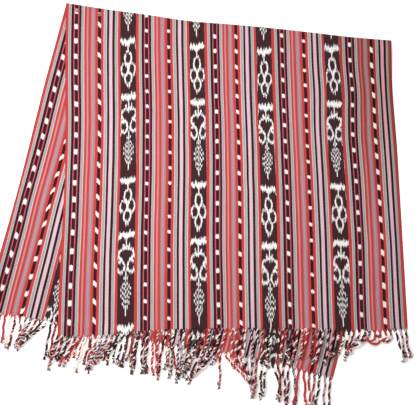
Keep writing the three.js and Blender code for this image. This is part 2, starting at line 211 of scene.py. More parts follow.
PLY_RADIUS = 1.9
TWIST_RADIUS = 1.65  # of the helix that each of a cord's two plies follows
TWIST_PITCH = 12.0
PLY_TURN = 26.0  # mm along the cord for a ply's yarns to go once round it
PLY_SIDES = 6
STRAND_SIDES = 3  # of a ply that share one strand's colour
PLY_SWELL = 0.08  # how far a ply's thickness varies
PLY_CLOSE = 0.55  # how close the plies lie at the root, for what they do further out
TAKE_UP = 1.25  # mm of warp in each mm of a ply
RINGS_PER_TURN = 8
WAVES = ((1.5, 52.0), (0.5, 21.0))  # how far a cord wanders to its side, and in how long a wave
FAN_BUNDLES = 8  # gathered bundles of warp at a cord's root
FAN_LONG = 13.0
FAN_RADIUS = 0.8
FAN_INSIDE = 2.5  # how far inside the hem the bundles begin
FAN_RISE = 0.9  # and how far above the cord's root
FAN_END_WIDE = 4.2  # across all bundles, where they join the cord
FAN_BEND = 0.45  # how far a bundle keeps its way at each end, for its length
KNOT_BEFORE_END = 15.0
KNOT_HALF = (5.0, 4.8, 3.6)  # along the cord, across it, and up
TUFT_YARNS = 18
TUFT_LONG = (8.0, 13.0)
TUFT_SPREAD = 17.0  # degrees
TUFT_CURL = 50.0  # degrees
TUFT_RISE = 3.2
KNOT_WARP = -110.0  # where along the warp a knot's yarns take their colours
TUFT_WARP = -120.0  # and a tuft's
KNOT_RINGS = 8
KNOT_SIDES = 10
KNOT_WRAP = 0.13  # how deep the turns of yarn show in a knot
YARN_RADIUS = 0.75

# ---- The stripes: colour, width in mm, kind ----
RED = (200, 66, 65)
BLACK = (58, 20, 25)
WHITE = (246, 245, 243)
CREAM = (250, 246, 235)  # white yarn where it is twisted into a cord
TWISTED_DEPTH = 0.9  # how much of the other yarns' light is left there
LINE_PINK = (196, 90, 106)
THIN_PINK = (200, 140, 143)
MAUVE_GREY = (168, 134, 139)
MAUVE_PINK = (196, 144, 154)
PALE_PINK = (222, 190, 200)
IKAT_GROUND = (62, 34, 37)
IKAT_DARK = (50, 26, 29)
IKAT_PALE = (74, 42, 45)
GREY_RIM = (224, 214, 212)
GREY = (202, 192, 192)
PIN_DARK = (122, 114, 117)
# The stripes' colours darkened by painted shade, towards the fold's right end
PAINTED_SHADE_COLOURS = {
    RED: (157, 54, 48),
    BLACK: (33, 14, 14),
    LINE_PINK: (172, 86, 95),
    THIN_PINK: (172, 108, 104),
    MAUVE_GREY: (148, 120, 122),
    MAUVE_PINK: (180, 130, 137),
    PALE_PINK: (222, 160, 166),
    IKAT_GROUND: (48, 26, 28),
    GREY_RIM: (206, 190, 186),
    GREY: (189, 173, 171),
}
# From where to where the painted shade darkens, in mm: across the cloth, from the upper hem, and back
# again beyond the fold
PAINTED_SHADE_ACROSS = (640.0, 860.0)
PAINTED_SHADE_UP = (200.0, 680.0)
PAINTED_SHADE_BACK = (1400.0, 1100.0)
GREY_EDGE = 1.3


def grey(width):
    """A pale stripe with fine dark lines in its middle."""
    return (
        (GREY_RIM, GREY_EDGE, "plain"),
        (GREY, width - 2 * GREY_EDGE, "pins"),
        (GREY_RIM, GREY_EDGE, "plain"),
    )


STRIPES = (
    (RED, 7.5, "plain"),
    *grey(8.0),
    (BLACK, 6.0, "plain"),
    (LINE_PINK, 3.0, "plain"),
    (BLACK, 8.0, "dots"),
    (LINE_PINK, 3.0, "plain"),
    (BLACK, 6.0, "plain"),
    *grey(8.0),
    (RED, 6.5, "plain"),
    (THIN_PINK, 4.0, "mixed"),
    (RED, 6.5, "plain"),
    (MAUVE_GREY, 4.0, "mixed"),
    (MAUVE_PINK, 4.0, "mixed"),
    (MAUVE_GREY, 4.0, "mixed"),
    (RED, 7.5, "plain"),
    (BLACK, 8.5, "dots"),
    (RED, 7.0, "plain"),
    *grey(9.0),
    (BLACK, 6.0, "plain"),
    (PALE_PINK, 9.0, "plain"),
    (BLACK, 6.0, "plain"),
    *grey(8.5),
    (RED, 6.5, "plain"),
    (IKAT_GROUND, 42.5, "figure"),
)
# How far the stripes have drifted to the right of even steps: mm, at these places across the cloth
# and, one row for each, at these places from the upper hem
DRIFT_ACROSS = (0, 20, 75, 130, 185, 240, 300, 360, 420, 480, 540, 600, 660, 720, 780, 830, 900)
DRIFT_FROM_HEM = (52, 232, 412, 592, 772, 1307, 1477, 1597, 1737, 1797)
# At the right: as seen beside the fold, and kept the same beyond it
FOLD_DRIFT = (6.5, 3, 2, 2.5, 0.5, 0, 0.5, -1.5, -4)
DRIFT = (
    (0, 0, 2, 3.5, 6, 6.5, 5.5, 6.5, 7, 2.5, 2, 2, 0.5, 0, -1.5, -3, -3.5),
    (0, 0, 1.5, 2.5, 6, 6.5, 6, 6, 5.5, 3.5, 3, 3.5, 2.5, 2, 2.5, 0.5, -3),
    (-2, -2, 0.5, 3.5, 8, 9.5, 9.5, 7.5, 5.5, 0.5, 0.5, 2, 1.5, 1, 0.5, -0.5, -3.5),
    (0, 0, 3, 5, 8.5, 10, 9.5, 8.5, 8, 2.5, 2, 2.5, -0.5, -3.5, -5.5, -4.5, -4),
    (0, 0, 3.5, 4.5, 6, 6.5, 6, 6, *FOLD_DRIFT),
    (0, 1, 3, 4.5, 6, 6.5, 6, 6, *FOLD_DRIFT),
    (-2, -2.5, 0, 2.5, 5, 6.5, 6, 6, *FOLD_DRIFT),
    (0, 0.5, 3.5, 6, 8, 8, 7, 6, *FOLD_DRIFT),
    (3, 3.5, 6.5, 9.5, 11, 10, 8, 6, *FOLD_DRIFT),
    (4, 4.5, 9, 11, 12, 11, 9, 7, *FOLD_DRIFT),
)
REPEAT = sum(width for _, width, _ in STRIPES)
STRIPE_ENDS = np.cumsum([width for _, width, _ in STRIPES])
PIN_STEP = 1.3
PIN_SHARE = 0.45
EDGE_RED_FROM = 894.8  # the right selvedge ends in a red stripe

# ---- The dots that are tied into two bands of each repeat ----
DOT_CENTRES = (28.5, 90.25)
DOT_SPLIT = 60.0  # between the two
DOT_STEP = 45.0  # about, from dot to dot
DOT_LONGEST = 25.0
DOT_UNEVEN = 4.0  # how far a dot is out of place, and how far each of its yarns is
DOT_FEATHER = 3.5
DOT_ROUNDING = 0.12
# One row for each band, from the left. The lowest dot's middle and the step from dot to dot, on the
# upper layer from its hem and on the lower one from its own; then a dot's length, width and slant
DOT_BANDS = (
    (35, 45.6, 66, 46.6, 14.5, 9.0, 0.1),
    (41, 45.5, 15, 46.6, 13.0, 8.5, 1.0),
    (31, 44.35, 20, 45, 9.5, 8.5, 0.2),
    (30, 44.1, 30, 45, 8.5, 8.0, 0.3),
    (18, 43.8, 10, 45, 12.0, 8.5, 0.0),
    (16.5, 43.75, 25, 45, 11.5, 8.5, 0.5),
    (17.5, 44.0, 35, 45, 11.5, 8.5, 0.3),
    (6.5, 43.75, 20, 45, 9.0, 8.5, 0.3),
    (38.5, 43.95, 12, 45, 12.0, 8.5, 0.15),
    (21, 43.9, 30, 45, 15.5, 8.5, 0.6),
)
# How far up the ties of the upper layer are pulled, at these places from its hem
PULLED_AT = (0, 120, 270, 370, 470, 570, 670, 770, 880)
PULLED = (0, 3, 6, 6, 2.5, 0, -2, -3.5, -5)
DOT_REACH = 8.0  # half of the width that a band's ties hold good for

# ---- The tied figure: mm out from the band's middle and mm down from above its crest ----
FIGURE_LONG = 397.0
FIGURE_TOPS = (22.5, -4.0, -18.5, -7.5)  # mm from the upper hem, one for each band
# The second figure from the upper hem sits closer to its crest: by how much, at these places
CLOSED_UP_AT = (0, 60, 150, 330, 430)
CLOSED_UP = (6, 10, 15, 14, 0)
BUNDLE = 42.5 / 32  # mm of warp that are tied together
BUNDLES = 16  # from the band's middle to its edge
FIGURE_MIDDLE = REPEAT - BUNDLE * BUNDLES
CHART_STEP = 0.5
FIGURE_BOUND = 14.0  # lengths of a figure that were each bound on their own
FIGURE_UNEVEN = 6.5  # how far these are out of place, in mm
FIGURE_FEATHER = 7.0  # and how far each yarn is
# The crests: where the top is in the middle and at the edge, and the same for the bottom
CRESTS = (((11, 5), (29, 17)), ((170, 166), (186, 179)))
CREST_TEETH = 8.0
# Ovals: middle out and down, radius across and down, from and to in degrees (0 is out, 90 down), half
# the stroke's width
OVALS = (
    (0, 64, 8.6, 18.5, -90, 90, 1.8),
    (9.6, 97, 9.0, 17.5, 0, 360, 1.8),
    (0, 123, 8.6, 17, -90, 90, 1.8),
    (0, 226, 19.5, 16.5, -84, 50, 2.5),
    (14, 257, 9.5, 14, -180, -90, 1.8),
    (12, 261, 8.5, 13, 0, 180, 2.3),
)
# Straight strokes: from out and down, to out and down, half the stroke's width
STROKES = (
    (0, 28, 0, 48, 1.3),
    (3, 138, 3, 147, 1.2),
    (0, 188, 0, 216, 1.3),
    (5, 209, 8, 199, 1.8),
    (11, 242, 17, 246, 3.4),
    (11, 275, 15, 274, 3.2),
    (0, 272, 0, 288, 1.2),
    (0, 364, 0, 380, 1.4),
)
# The diamond of short dashes
DIAMOND = {"from": 272, "widest": 328, "to": 388, "half": 15.0, "step": 14.0, "dash": 7.0}


# ---- Small helpers ----


def mix(a, b, share):
    return a + (b - a) * share


def ease(share):
    s = np.clip(share, 0, 1)
    return s * s * (3 - 2 * s)


def scatter(n):
    """A repeatable number from 0 to 1."""
    value = np.sin(np.asarray(n, float) * 12.9898 + 78.233) * 43758.5453
    return value - np.floor(value)


def through_values(values, share):
    """A smooth curve through evenly spaced values, at a share of the way along them."""
    values = np.asarray(values, float)
    ends = (2 * values[0] - values[1], 2 * values[-1] - values[-2])
    padded = np.concatenate([ends[:1], values, ends[1:]])
    at = np.clip(share, 0, 1) * (len(values) - 1)
    i = np.minimum(np.floor(at).astype(int), len(values) - 2)
    t = at - i
    a, b, c, d = (padded[i + k] for k in range(4))
    return b + 0.5 * t * (c - a + t * (2 * a - 5 * b + 4 * c - d + t * (3 * (b - c) + d - a)))


def between(layers, at):
    """Values between two of a stack's layers, at a place along the stack."""
    low = np.clip(at.astype(int), 0, len(layers) - 2)
    first, second = (np.take_along_axis(layers, (low + k)[None], axis=0)[0] for k in (0, 1))
    return mix(first, second, at - low)


def hump(away, width):
    """A round hump, 1 in its middle and 0 from half of its width out."""
    return 0.5 + 0.5 * np.cos(np.pi * np.minimum(1, 2 * np.abs(away) / width))


def unit(vectors):
    return vectors / np.linalg.norm(vectors, axis=-1, keepdims=True)


def turned(vectors, angle):
    """Plan vectors turned by an angle in radians."""
    c, s = np.cos(angle), np.sin(angle)
    x, y = vectors[..., 0], vectors[..., 1]
    return np.stack([x * c - y * s, x * s + y * c], -1)


def linear(colour):
    """An 8-bit screen colour as the shader's linear one."""
    c = np.asarray(colour, float) / 255
    return np.where(c <= 0.04045, c / 12.92, ((c + 0.055) / 1.055) ** 2.4)


# ---- The plan of the folded cloth ----


def line_point(line, across):
    across = np.asarray(across, float)
    return np.stack([mix(*LINES[line], across), through_values(STATIONS[line], across)], -1)


def plan_point(layer, across, along):
    across, along = np.broadcast_arrays(np.asarray(across, float), np.asarray(along, float))
    point = mix(line_point("fold", across), line_point(layer, across), along[..., None])
    for at, down, shift, wide, long in SHIFTS[layer]:
        point[..., 0] += shift * hump(across - at, 2 * wide) * hump(along - down, 2 * long)
    return point


def layer_length(layer, across):
    return np.linalg.norm(line_point("fold", across) - line_point(layer, across), axis=-1)


def warp_way(layer, across):
    return unit(line_point(layer, across) - line_point("fold", across))


def outward(layer, across):
    """The unit vector that leaves a hem at a right angle, away from the fold."""
    step = 0.01
    before = plan_point(layer, np.maximum(0, across - step), 1)
    after = plan_point(layer, np.minimum(1, across + step), 1)
    edge = unit(after - before)
    return np.stack([edge[..., 1], -edge[..., 0]], -1)


def ring_of(corner):
    """The closed outline of a patch, from its point at each share across and along."""
    shares = np.arange(16) / 16
    sides = [
        corner(shares, 0 * shares),
        corner(1 + 0 * shares, shares),
        corner(1 - shares, 1 + 0 * shares),
        corner(0 * shares, 1 - shares),
    ]
    return np.concatenate(sides)


LOWER_RING = ring_of(lambda across, along: plan_point("lower", across, along))
LOWER_CORDS_RING = ring_of(
    lambda across, along: plan_point("lower", across, 1)
    + outward("lower", across) * (along * CORD_ZONE)[..., None]
)


def distance_outside(points, ring):
    """How far outside a closed outline each point lies, and 0 inside it."""
    nearest = np.full(points.shape[:-1], np.inf)
    inside = np.zeros(points.shape[:-1], bool)
    for a, b in zip(ring, np.roll(ring, -1, axis=0)):
        edge = b - a
        share = np.clip(((points - a) @ edge) / (edge @ edge), 0, 1)
        gap = np.linalg.norm(points - a - share[..., None] * edge, axis=-1)
        nearest = np.minimum(nearest, gap)
        crosses = (a[1] > points[..., 1]) != (b[1] > points[..., 1])
        if edge[1]:
            left_of = points[..., 0] < a[0] + edge[0] * (points[..., 1] - a[1]) / edge[1]
            inside ^= crosses & left_of
    return np.where(inside, 0, nearest)


# ---- How high the cloth lies ----


def ridge_lift(layer, across, along):
    lift = np.zeros(np.broadcast(across, along).shape)
    for at, start, end, high, wide, lean in RIDGES[layer]:
        share = np.clip((along - start) / (end - start), 0, 1)
        away = (across - at - lean * share) * CLOTH_WIDE
        lift = lift + high * np.sin(np.pi * share) ** 2 * hump(away, wide)
    return lift


def crease_lift(layer, across, along):
    point = plan_point(layer, across, along)
    lift = np.zeros(point.shape[:-1])
    for at, down, turn, long, wide, high in CREASES[layer]:
        way = turned(warp_way(layer, at), math.radians(turn))
        away = point - plan_point(layer, at, down)
        lengthwise = away @ way
        crosswise = away @ np.array([-way[1], way[0]])
        bowed = crosswise + CREASE_BOW * long * hump(lengthwise, long) * (1 if high > 0 else -1)
        lift = lift + high * hump(lengthwise, long) * hump(bowed, wide * 2)
    return lift


def past(points, ring):
    return ease((distance_outside(points, ring) - STEP_REACH) / STEP_SETTLE)


def upper_underside(across, along):
    points = plan_point("upper", across, along)
    on_layer = mix(WALL + GAP, 0, past(points, LOWER_RING))
    on_cords = mix(CORD_CLEAR + CORD_HIGH + GAP, 0, past(points, LOWER_CORDS_RING))
    return np.maximum(on_layer, on_cords)


def layer_height(layer, across, along):
    """The height of the cloth's middle."""
    from_bend = along * layer_length(layer, across) - FOLD_DEPTH
    own = ridge_lift(layer, across, along) + np.maximum(crease_lift(layer, across, along), CREASE_DEEPEST)
    own = own * ease(from_bend / RIDGE_START)
    low = CLOTH_THICK / 2 + FLOOR_CLEAR
    if layer == "lower":
        return np.maximum(low, CLOTH_REST - LOWER_SINK + own)
    resting = CLOTH_REST + upper_underside(across, along)
    return np.maximum(low, mix(low + 2 * FOLD_RADIUS, resting, ease(from_bend / FOLD_EASE)) + own)


# ---- Meshes from grids ----


def in_frame(points):
    moved = np.asarray(points, float).copy()
    moved[..., :2] -= BOX_CENTRE
    return moved * MM


def new_piece(name, points, faces, uv_layers):
    """An object from points in mm, faces and {layer: one UV for each corner}."""
    mesh = bpy.data.meshes.new(name)
    mesh.from_pydata(in_frame(points).tolist(), [], faces)
    mesh.update()
    for layer, values in uv_layers.items():
        made = mesh.uv_layers.new(name=layer)
        made.data.foreach_set("uv", np.asarray(values, np.float32).ravel())
    mesh.polygons.foreach_set("use_smooth", [True] * len(mesh.polygons))
    piece = bpy.data.objects.new(name, mesh)
    bpy.context.scene.collection.objects.link(piece)
    return piece


# ---- The cloth ----
COLUMNS = CORDS * 4
HEM_ROWS = (0, 2.5, 6, 10, 15, 22, 31)  # mm in from a hem
LAYER_LONG = 880  # about
UPPER_ROWS = 74
LOWER_ROWS = 56
FOLD_ROWS = 12
SCALLOP_OUT = 2.2  # how far a cord's root pulls the hem out
SCALLOP_IN = 3.4  # and how far the hem draws back between two cords
SCALLOP_FADE = 14.0
GATHER = 0.9  # how far the cloth bunches up at a cord's root


def hem_shares(rows):
    """Shares of the way from a hem to the fold's leg, close together beside the hem."""
    near = np.array(HEM_ROWS) / LAYER_LONG
    return np.concatenate([near[:-1], np.linspace(near[-1], 1, rows)])


def cord_wave(across):
    """1 at each cord's middle and 0 between two cords."""
    return 0.5 - 0.5 * np.cos(2 * np.pi * CORDS * across)


def layer_rows(layer, rows):
    """The layer's middle, from its hem to the fold's leg: points, and v within the layer."""
    across = np.linspace(0, 1, COLUMNS + 1)
    leg = FOLD_DEPTH / layer_length(layer, across)
    share = hem_shares(rows)[:, None]
    along = mix(1, leg[None, :], share)
    across = np.broadcast_to(across, along.shape)
    plan = plan_point(layer, across, along)
    from_hem = (1 - along) * layer_length(layer, across)
    wave = cord_wave(across)
    pull = mix(-SCALLOP_IN, SCALLOP_OUT, wave) * (1 - ease(from_hem / SCALLOP_FADE))
    plan = plan + outward(layer, across) * pull[..., None]
    height = layer_height(layer, across, along)
    height = height + GATHER * wave * (1 - ease(from_hem / (2 * SCALLOP_FADE)))
    return np.dstack([plan, height]), from_hem - pull


def fold_rows():
    """The bend's middle, from the upper leg to the lower one, and the ways out of it."""
    across = np.linspace(0, 1, COLUMNS + 1)
    centre_in = FOLD_RADIUS + CLOTH_THICK / 2
    centre_up = centre_in + FLOOR_CLEAR
    points, ways = [], []
    for i in range(FOLD_ROWS + 1):
        turn = i / FOLD_ROWS
        angle = math.pi * turn
        way = unit(mix(warp_way("upper", across), warp_way("lower", across), turn))
        flat = -math.sin(angle)
        up = math.cos(angle)
        plan = line_point("fold", across) + way * (centre_in + flat * FOLD_RADIUS)
        points.append(np.column_stack([plan, np.full(len(across), centre_up + up * FOLD_RADIUS)]))
        ways.append(np.column_stack([way * flat, np.full(len(across), up)]))
    return np.array(points), np.array(ways)


def cloth_middle():
    """Rows from the upper hem over the fold to the lower hem: middle, way out, and v from the hem."""
    upper, upper_v = layer_rows("upper", UPPER_ROWS)
    lower, lower_v = layer_rows("lower", LOWER_ROWS)
    bend, ways = fold_rows()
    across = np.linspace(0, 1, COLUMNS + 1)
    upper_long = layer_length("upper", across)
    around = np.linspace(-1, 1, FOLD_ROWS + 1)[:, None] * math.pi / 2 * FOLD_RADIUS
    bend_v = upper_long[None, :] + around
    lower_long = layer_length("lower", across)
    middle = np.concatenate([upper, bend, lower[::-1]])
    up = np.broadcast_to(np.array([0.0, 0.0, 1.0]), upper.shape)
    down = np.broadcast_to(np.array([0.0, 0.0, -1.0]), lower.shape)
    way = np.concatenate([up, ways, down])
    v = np.concatenate([upper_v, bend_v, (upper_long + lower_long)[None, :] - lower_v[::-1]])
    return middle, way, v, len(upper) + FOLD_ROWS // 2


# The bake's own map: the faces that show take most of its width, and the others a narrow strip
BAKE_SHOWN = (0.005, 0.85)
BAKE_HIDDEN = (0.89, 0.995)
BAKE_LEFT_EDGE = (0.86, 0.868)
BAKE_RIGHT_EDGE = (0.872, 0.88)
BAKE_ROWS = (0.012, 0.988)
BAKE_HEM = 0.008


def build_cloth():
    middle, way, v, turn_row = cloth_middle()
    rows, cols = v.shape
    outer = middle + way * CLOTH_THICK / 2
    inner = middle - way * CLOTH_THICK / 2
    points = np.concatenate([outer.reshape(-1, 3), inner.reshape(-1, 3)])
    u = np.broadcast_to(np.linspace(0, CLOTH_WIDE, cols), v.shape)
    across = u / CLOTH_WIDE
    straight = np.maximum(u - drift(u, v), 0.1)
    cloth_uv = np.stack([straight, v], -1) * MM
    ties_uv = np.stack([straight * MM, ties(straight, v, v[-1:] - v)], -1)
    down = mix(*BAKE_ROWS, v / v.max())
    faces, places, bake_corners = [], [], []

    def add(corners, bake, backwards):
        if backwards:
            corners, bake = corners[::-1], bake[::-1]
        faces.append([(side * rows + row) * cols + col for side, row, col in corners])
        places.extend((row, col) for _, row, col in corners)
        bake_corners.extend(bake)

    for row in range(rows - 1):
        near, far = row, row + 1
        for col in range(cols - 1):
            square = ((near, col), (near, col + 1), (far, col + 1), (far, col))
            for side in (0, 1):
                shown = (side == 0) == (row < turn_row)
                strip = BAKE_SHOWN if shown else BAKE_HIDDEN
                bake = [(mix(*strip, across[r, c]), down[r, c]) for r, c in square]
                add([(side, r, c) for r, c in square], bake, side > 0)
        for col, (a, b) in ((0, BAKE_LEFT_EDGE), (cols - 1, BAKE_RIGHT_EDGE)):
            corners = [(0, near, col), (0, far, col), (1, far, col), (1, near, col)]
            bake = [(a, down[near, col]), (a, down[far, col]), (b, down[far, col]), (b, down[near, col])]
            add(corners, bake, col > 0)
    for row, (low, high) in ((0, (0.001, BAKE_HEM)), (rows - 1, (1 - BAKE_HEM, 0.999))):
        for col in range(cols - 1):
            a, b = (mix(*BAKE_SHOWN, across[row, c]) for c in (col, col + 1))
            corners = [(0, row, col), (1, row, col), (1, row, col + 1), (0, row, col + 1)]
            bake = [(a, low), (a, high), (b, high), (b, low)]
            add(corners, bake, row > 0)
    row, col = np.array(places).T
    uv_layers = {"cloth": cloth_uv[row, col], "ties": ties_uv[row, col], "OFBake": bake_corners}
    return new_piece("shawl_cloth", points, faces, uv_layers)


# ---- The figure's chart ----


def near_stroke(x, down, points, half):
    """Which places lie within half a stroke's width of its line."""
    found = np.zeros(np.broadcast(x, down).shape, bool)
    for (ax, ay), (bx, by) in zip(points, points[1:]):
        dx, dy = bx - ax, by - ay
        share = np.clip(((x - ax) * dx + (down - ay) * dy) / (dx * dx + dy * dy), 0, 1)
        found |= np.hypot(x - ax - share * dx, down - ay - share * dy) <= half
    return found


def oval_points(out, down, across, along, start, end):
    angle = np.radians(np.linspace(start, end, 25))
    return np.column_stack([out + across * np.cos(angle), down + along * np.sin(angle)])


def in_crest(top, bottom, down, share):
    above, below = (CREST_TEETH * (scatter(np.round(share * BUNDLES) + k) - 0.5) for k in (4, 9))
    return (down >= mix(*top, share) + above) & (down <= mix(*bottom, share) + below)


def in_diamond(down, column):
    """Short dashes two bundles wide, with one between, every other line of them half a step lower."""
    d = DIAMOND
    line = (column + 1) // 3
    offset = d["step"] * (0.5 * (line % 2) + 0.3 * scatter(line * 3 + 1))
    place = (down + offset) % d["step"]
    middle = down - place + d["dash"] / 2
    opening = np.where(
        middle < d["widest"],
        (middle - d["from"]) / (d["widest"] - d["from"]),
        (d["to"] - middle) / (d["to"] - d["widest"]),
    )
    inside = 3 * BUNDLE * line < d["half"] * opening
    return inside & (place < d["dash"]) & ((column + 1) % 3 < 2)


def figure_chart():
    """Where the warp stayed white: a row for each bundle, a column for each step down."""
    down = np.arange(0, FIGURE_LONG, CHART_STEP)[None, :]
    column = np.arange(BUNDLES)[:, None]
    x = (column + 0.5) * BUNDLE
    white = in_diamond(down, column)
    for ax, ay, bx, by, half in STROKES:
        white |= near_stroke(x, down, ((ax, ay), (bx, by)), half)
    for *oval, half in OVALS:
        white |= near_stroke(x, down, oval_points(*oval), half)
    for top, bottom in CRESTS:
        white |= in_crest(top, bottom, down, x / (BUNDLE * BUNDLES))
    return white


FIGURE = figure_chart()


# ---- Where a place on the cloth lies in its pattern ----


def drift(u, v):
    """How far the stripes have drifted at u mm across the cloth and v mm from the upper hem."""
    rows = np.array([np.interp(u, DRIFT_ACROSS, row) for row in DRIFT])
    return between(rows, np.interp(v, DRIFT_FROM_HEM, np.arange(len(DRIFT))))


def ties(u, v, below):
    """How many ties up a place is in the nearest tied band; below is its distance from the lower hem."""
    on_lower = v > below
    unpulled = v - np.interp(v, PULLED_AT, PULLED)
    edges, counts = [], []
    for repeat in range(math.ceil(CLOTH_WIDE / REPEAT)):
        for second, middle in enumerate(DOT_CENTRES):
            first, step, first_below, step_below = DOT_BANDS[2 * repeat + second][:4]
            edges += [repeat * REPEAT + middle - DOT_REACH, repeat * REPEAT + middle + DOT_REACH]
            turns = np.where(on_lower, (first_below - below) / step_below, (unpulled - first) / step)
            counts += [turns] * 2
        if repeat < len(FIGURE_TOPS):
            edges += [(repeat + 1) * REPEAT - 2 * BUNDLES * BUNDLE, (repeat + 1) * REPEAT]
            closed_up = np.interp(v, CLOSED_UP_AT, CLOSED_UP)
            counts += [(v - closed_up - FIGURE_TOPS[repeat]) / FIGURE_LONG] * 2
    return between(np.array(counts), np.interp(u, edges, np.arange(len(edges))))


# ---- The yarns' colours, for the fringe ----
STRIPE_COLOURS = np.array([linear(colour) for colour, _, _ in STRIPES])
STRIPE_KINDS = np.array([kind for _, _, kind in STRIPES])
TWISTED_YARN = 2.2  # mm of warp in one of a cord's yarns
CREAM_SHARE = 0.55  # of the yarns of a mixed stripe


def dot_is_white(u, v):
    place = u % REPEAT
    second = place >= DOT_SPLIT
    band = np.minimum(2 * np.floor(u / REPEAT).astype(int) + second, len(DOT_BANDS) - 1)
    first, step, _, _, long, wide, slant = np.moveaxis(np.array(DOT_BANDS)[band], -1, 0)
    local = place - np.where(second, DOT_CENTRES[1], DOT_CENTRES[0])
    off = (v + slant * local - first + step / 2) % step - step / 2
    return (np.abs(off) < long / 2) & (np.abs(local) < wide / 2)


def figure_is_white(u, v):
    place = u % REPEAT
    band = np.minimum(np.floor(u / REPEAT).astype(int), len(FIGURE_TOPS) - 1)
    bundle = np.clip(np.abs(place - FIGURE_MIDDLE) // BUNDLE, 0, BUNDLES - 1).astype(int)
    down = (np.array(FIGURE_TOPS)[band] - v) % FIGURE_LONG
    return FIGURE[bundle, np.minimum((down / CHART_STEP).astype(int), FIGURE.shape[1] - 1)]


def yarn_colour(u, v):
    """The colour of the warp yarns at u mm from the left selvedge and v mm along the warp."""
    u, v = np.broadcast_arrays(np.clip(u, 0, CLOTH_WIDE - 0.01), v)
    stripe = np.minimum(np.searchsorted(STRIPE_ENDS, u % REPEAT, side="right"), len(STRIPES) - 1)
    kind = STRIPE_KINDS[stripe]
    mixed = (kind == "mixed") & (scatter(np.floor(u / TWISTED_YARN)) < CREAM_SHARE)
    colour = np.where((kind == "mixed")[..., None], linear(RED), STRIPE_COLOURS[stripe]) * TWISTED_DEPTH
    pins = kind == "pins"
    pale = dot_is_white(u, v) | (kind == "figure") & figure_is_white(u, v) | pins | mixed
    dark = pins & (scatter(np.floor(2 * u / TWISTED_YARN)) < PIN_SHARE)
    colour = np.where(pale[..., None], linear(CREAM), colour)
    return np.where(dark[..., None], linear(BLACK) * TWISTED_DEPTH, colour)


# ---- The cords' routes, as the solids have them ----
LOWER_SEED = 500
RING_STEP = TWIST_PITCH / RINGS_PER_TURN
ROUTE_PLACES = 400  # along a cord, before it is cut into even steps


def seed_of(layer, number):
    return number + LOWER_SEED * (layer == "lower")


def run_along(points):
    """How far along a line each of its points lies."""
    return np.concatenate([[0], np.cumsum(np.linalg.norm(np.diff(points, axis=0), axis=1))])


def from_table(table, across):
    """A table's values between its rows."""
    rows = np.array(table, float)
    return [np.interp(across, rows[:, 0], rows[:, k]) for k in range(1, rows.shape[1])]


def cord_plan(layer, table, number):
    across = (number + 0.5) / CORDS
    seed = seed_of(layer, number)
    lean, curl, long, stray = from_table(table, across)
    lean += stray * (2 * scatter(seed + 0.17) - 1)
    curl += stray * (2 * scatter(seed + 0.41) - 1)
    long *= 1 + LONG_VARIES * (2 * scatter(seed + 0.73) - 1)
    way = outward(layer, across)
    root = plan_point(layer, across, 1)
    points = [root + way * STRIP_IN, root + way * ROOT_OUT]
    step = (long - ROOT_OUT) / (SECTIONS - 1)
    for i in range(1, SECTIONS):
        angle = math.radians(lean + curl * (i - 1) / (SECTIONS - 2))
        points.append(points[-1] + turned(way, angle) * step)
    return np.array(points)


def dense_places(points):
    """Places along a cord: plan point, section, share of it, and size."""
    rows = []
    for i, (a, b) in enumerate(zip(points, points[1:])):
        count = math.ceil(np.linalg.norm(b - a) / DENSE)
        for k in range(count + 1):
            share = k / count
            rows.append((*mix(a, b, share), i, share, mix(CORD_SHAPE[i], CORD_SHAPE[i + 1], share)))
    return np.array(rows)


def lay_cord(layer, points, root_height, laid):
    """The height of each section's underside, over the floor, the lower layer and the cords laid."""
    own = float(layer == "upper")
    places = dense_places(points)
    plan, size = places[:, :2], places[:, 4]
    section, share = places[:, 2].astype(int), places[:, 3]
    needed = np.full(len(places), CORD_CLEAR)
    if layer == "upper":
        needed += WALL * (distance_outside(plan, LOWER_RING) < CORD_WIDE)
    if laid:
        others = np.concatenate(laid)
        gap = np.linalg.norm(plan[:, None] - others[None, :, :2], axis=-1)
        near = gap < CORD_WIDE / 2 * (size[:, None] + others[None, :, 2]) + BESIDE
        most = np.where(others[:, 4] == own, PILE_MOST, np.inf)
        top = np.where(near, np.minimum(others[:, 3] + CORD_CLEAR, most)[None, :], 0)
        needed = np.maximum(needed, top.max(axis=1))
    heights = np.full(len(points), CORD_CLEAR)
    heights[0] = root_height
    for end in (section, section + 1):
        free = end > 0
        np.maximum.at(heights, end[free], needed[free])
    under = mix(heights[section], heights[section + 1], share)
    laid.append(np.column_stack([plan, size, under + CORD_HIGH * size, np.full(len(size), own)]))
    return heights


def smooth_route(points, heights, seed):
    """Evenly spaced middles along a cord, in 3-D."""
    fine = np.linspace(0, 1, ROUTE_PLACES)
    plan = np.column_stack([through_values(points[:, k], fine) for k in (0, 1)])
    on = unit(np.gradient(plan, axis=0))
    run = run_along(plan)
    sway = sum(
        size * np.sin(2 * np.pi * (run / long + scatter(seed + long))) for size, long in WAVES
    ) * ease((run - ROOT_OUT) / FAN_LONG)
    plan = plan + sway[:, None] * np.stack([-on[:, 1], on[:, 0]], -1)
    at = fine * (len(points) - 1)
    i = np.minimum(at.astype(int), len(points) - 2)
    under = mix(heights[i], heights[i + 1], ease(at - i))
    route = np.column_stack([plan, under + PLY_RADIUS + TWIST_RADIUS])
    lengths = run_along(route)
    count = int(round(lengths[-1] / RING_STEP))
    where = np.linspace(0, lengths[-1], count + 1)
    return np.column_stack([np.interp(where, lengths, route[:, k]) for k in range(3)]), where


def frames_along(route):
    """The way on, the way to the side and the way up, at each point of a route."""
    on = unit(np.gradient(route, axis=0))
    side = unit(np.cross([0.0, 0.0, 1.0], on))
    return on, side, np.cross(on, side)


# ---- Tubes ----


